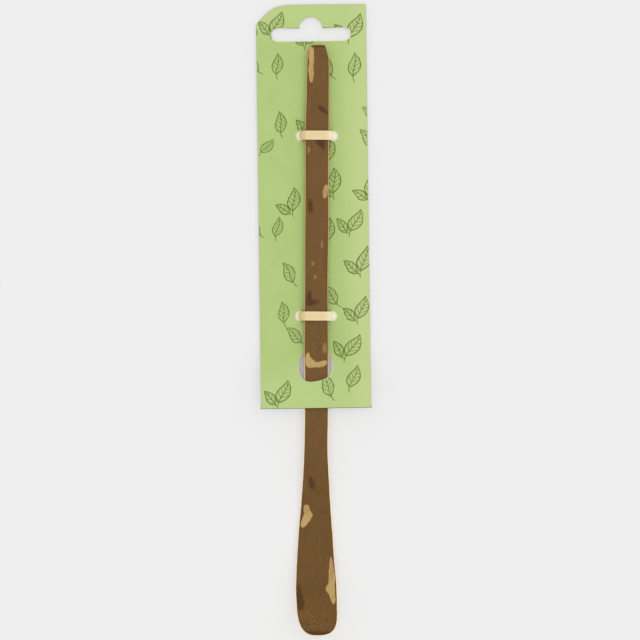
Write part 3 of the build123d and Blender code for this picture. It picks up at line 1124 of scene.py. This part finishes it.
class TEAWARE_OT_bands(Operator):
    """Loop two flat elastic bands over the handle and lap their ends behind the card"""

    bl_idname = "teaware.bands"
    bl_label = "Elastic bands"

    def execute(self, context):
        look = context.scene.tea_bands
        scoop = context.scene.tea_scoop
        board = context.scene.tea_card
        axis = scoop_axis()
        card_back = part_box("hang_card")[0].z
        for node, name in BANDS.items():
            centre = band_centre(node, look)
            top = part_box(node)[1].z - look.thickness
            shoulder = scoop.handle_width / 2 + scoop.flank + look.clearance
            right = [(shoulder, top, look.shoulder_radius),
                     (look.leg, card_back + board.thickness, look.fold_radius),
                     (look.leg, card_back, look.fold_radius)]
            corners = right + [(-x, z, radius) for x, z, radius in reversed(right)]

            # The loop is drawn flat, then stood up across the scoop and widened into a strip.
            bm = bmesh.new()
            outline(bm, [(x, z) for x, z, _ in corners], [radius for *_, radius in corners])
            bmesh.ops.rotate(bm, cent=(0, 0, 0), matrix=Matrix.Rotation(pi / 2, 3, "X"), verts=bm.verts)
            runs = [edge for edge in bm.edges if edge.calc_length() > look.width / 2]
            bmesh.ops.subdivide_edges(bm, edges=runs, cuts=RUN_CUTS)
            bmesh.ops.translate(bm, vec=(axis, centre - look.width / 2, 0.0), verts=bm.verts)
            strip = bmesh.ops.extrude_edge_only(bm, edges=bm.edges[:])
            bmesh.ops.translate(bm, vec=(0.0, look.width, 0.0), verts=new_verts(strip))
            ribs = [edge for edge in bm.edges
                    if abs(edge.verts[0].co.y - edge.verts[1].co.y) > look.width / 2]
            bmesh.ops.subdivide_edges(bm, edges=ribs, cuts=BAND_CUTS, use_grid_fill=True)
            face_outwards(bm)
            bmesh.ops.solidify(bm, geom=bm.faces[:], thickness=-look.thickness)
            face_outwards(bm)
            rims = [edge for edge in bm.edges if edge.calc_face_angle(0.0) > RIM_ANGLE]
            soften(bm, rims, look.edge_radius, RIM_STEPS)

            # The band fills its holes and curls to fit their round edges.
            for vert in bm.verts:
                side = 1 if vert.co.x > axis else -1
                dive = ease(abs(vert.co.x - axis), shoulder, look.leg)
                widen = 1 + (look.waist - 1) * dive
                ripple = 1 + RIPPLE * wander(vert.co.x, look.width, centre / look.width)
                off = (vert.co.y - centre) * widen * ripple
                vert.co.y = centre + off
                curl = 1 - quarter(1 - min(abs(off) / board.band_hole_radius, 1.0))
                vert.co.x -= side * (board.band_hole_radius * curl) * dive

            # The bonded lap lies behind the card, a little narrower than the band.
            lap = bmesh.ops.create_cube(bm, size=1.0)["verts"]
            bmesh.ops.scale(bm, vec=(look.lap, look.width * LAP_WIDTH, look.thickness), verts=lap)
            bmesh.ops.translate(bm, vec=(axis, centre, card_back - look.thickness * 1.5), verts=lap)
            lap_edges = dict.fromkeys(edge for vert in lap for edge in vert.link_edges)
            soften(bm, list(lap_edges), look.edge_radius * LAP_EDGE, LAP_STEPS)
            face_outwards(bm)
            finish = elastic_finish(look, centre, axis)
            hand_over(name, bm, [finish], "card", node, BAND_SHARP)
        return {"FINISHED"}


def seen(shade):
    """1 on the rays that show the room to the camera, straight or by way of something shiny or clear."""
    camera = shade.node("LightPath", None, None, output="Is Camera Ray")
    return camera + camera.sibling("Is Glossy Ray") + camera.sibling("Is Transmission Ray")


def floor_finish(look, card):
    """Pale floor that takes the object's shadow, with less of its own glow under the round hole, which
    leaves painted shade there, deeper to the left.
    """
    material, shade = new_finish("floor")
    place = millimetres(shade)
    cloud = shade.grain(place, 0.004, 2.0)
    pale = cloud.choose(look.floor_colour * 0.99, look.floor_colour)
    lit = surface(shade, pale, 0.8, cloud, depth=0.001 * MM, specular=0.1)
    even = shade.node("Emission", None, {"Color": pale, "Strength": look.backdrop})
    # Painted shade: under the round hole, and more so to its left, the floor keeps more of its shadow
    painted_shade_centre = round_hole(card) - Vector((look.hole_glow_shift, 0.0, 0.0))
    from_hole = shade.node("VectorMath", {"operation": "DISTANCE"}, {0: place, 1: painted_shade_centre / MM},
                           output="Value")
    open_floor = (from_hole - card.hole_radius / MM).fade(*OPEN_FLOOR)
    glow = (open_floor * (1 - look.hole_glow) + look.hole_glow) * look.floor_glow
    put_on(shade, shade.node("MixShader", None, {0: seen(shade) * glow, 1: lit, 2: even}))
    return material


def room_light(look):
    """A room that lights the object evenly. The camera sees it in the colour of the floor."""
    world = bpy.data.worlds.new("room")
    air = empty_nodes(world)
    even = air.node("Background", None, {"Strength": look.ambient, "Color": opaque(WHITE)})
    wall = air.node("Background", None, {"Strength": look.backdrop, "Color": opaque(look.floor_colour)})
    both = air.node("MixShader", None, {0: seen(air), 1: even, 2: wall})
    air.node("OutputWorld", None, {"Surface": both})
    return world


class TEAWARE_OT_stage(Operator):
    """Lay the pale floor, hang the soft light and set the camera straight above"""

    bl_idname = "teaware.stage"
    bl_label = "Stage"

    def execute(self, context):
        scene = context.scene
        look = scene.tea_stage
        low, high = cad_box
        middle = (low + high) / 2

        bm = bmesh.new()
        bmesh.ops.create_grid(bm, x_segments=4, y_segments=4, size=look.floor_size)
        bmesh.ops.translate(bm, vec=(0.0, 0.0, low.z - FLOOR_GAP), verts=bm.verts)
        mesh_object("floor", bm, [floor_finish(look, scene.tea_card)])
        scene.world = room_light(look)

        key = add_object("key_light", bpy.data.lights.new("key_light", "SUN"))
        key.data.energy = look.key_strength
        key.data.angle = look.key_spread
        key.location = middle + Vector(KEY_FROM)
        key.rotation_mode = "QUATERNION"
        key.rotation_quaternion = (middle - key.location).to_track_quat("-Z", "Y")

        camera = add_object("camera", bpy.data.cameras.new("camera"))
        camera.data.lens = look.lens
        camera.data.sensor_width = SENSOR_WIDTH
        camera.location = look.camera_place
        camera.rotation_euler = (0.0, 0.0, look.camera_roll)
        scene.camera = camera
        scene.view_settings.view_transform = "Standard"
        return {"FINISHED"}


class TEAWARE_PT_panel(Panel):
    """Pieces of the carded scoop, and the values that shape them"""

    bl_label = "Carded tea scoop"
    bl_space_type = "VIEW_3D"
    bl_region_type = "UI"
    bl_category = "Tea ware"

    def draw(self, context):
        for name, (_, operator) in GROUPS.items():
            box = self.layout.box()
            box.operator(operator.bl_idname)
            group = getattr(context.scene, name)
            for value in group.__annotations__:
                box.prop(group, value)


# Each group of values in the scene, with the operator that reads it
GROUPS = {
    "tea_scoop": (ScoopLook, TEAWARE_OT_scoop),
    "tea_card": (CardLook, TEAWARE_OT_card),
    "tea_bands": (BandLook, TEAWARE_OT_bands),
    "tea_stage": (StageLook, TEAWARE_OT_stage),
}
CLASSES = (*(cls for pair in GROUPS.values() for cls in pair), TEAWARE_PT_panel)


def register():
    for cls in CLASSES:
        bpy.utils.register_class(cls)
    for name, (look, _) in GROUPS.items():
        setattr(bpy.types.Scene, name, PointerProperty(type=look))


def unregister():
    for name in GROUPS:
        delattr(bpy.types.Scene, name)
    for cls in reversed(CLASSES):
        bpy.utils.unregister_class(cls)


def main():
    register()
    bpy.ops.teaware.scoop()
    bpy.ops.teaware.card()
    bpy.ops.teaware.bands()
    bpy.ops.teaware.stage()


if __name__ == "__main__":
    main()
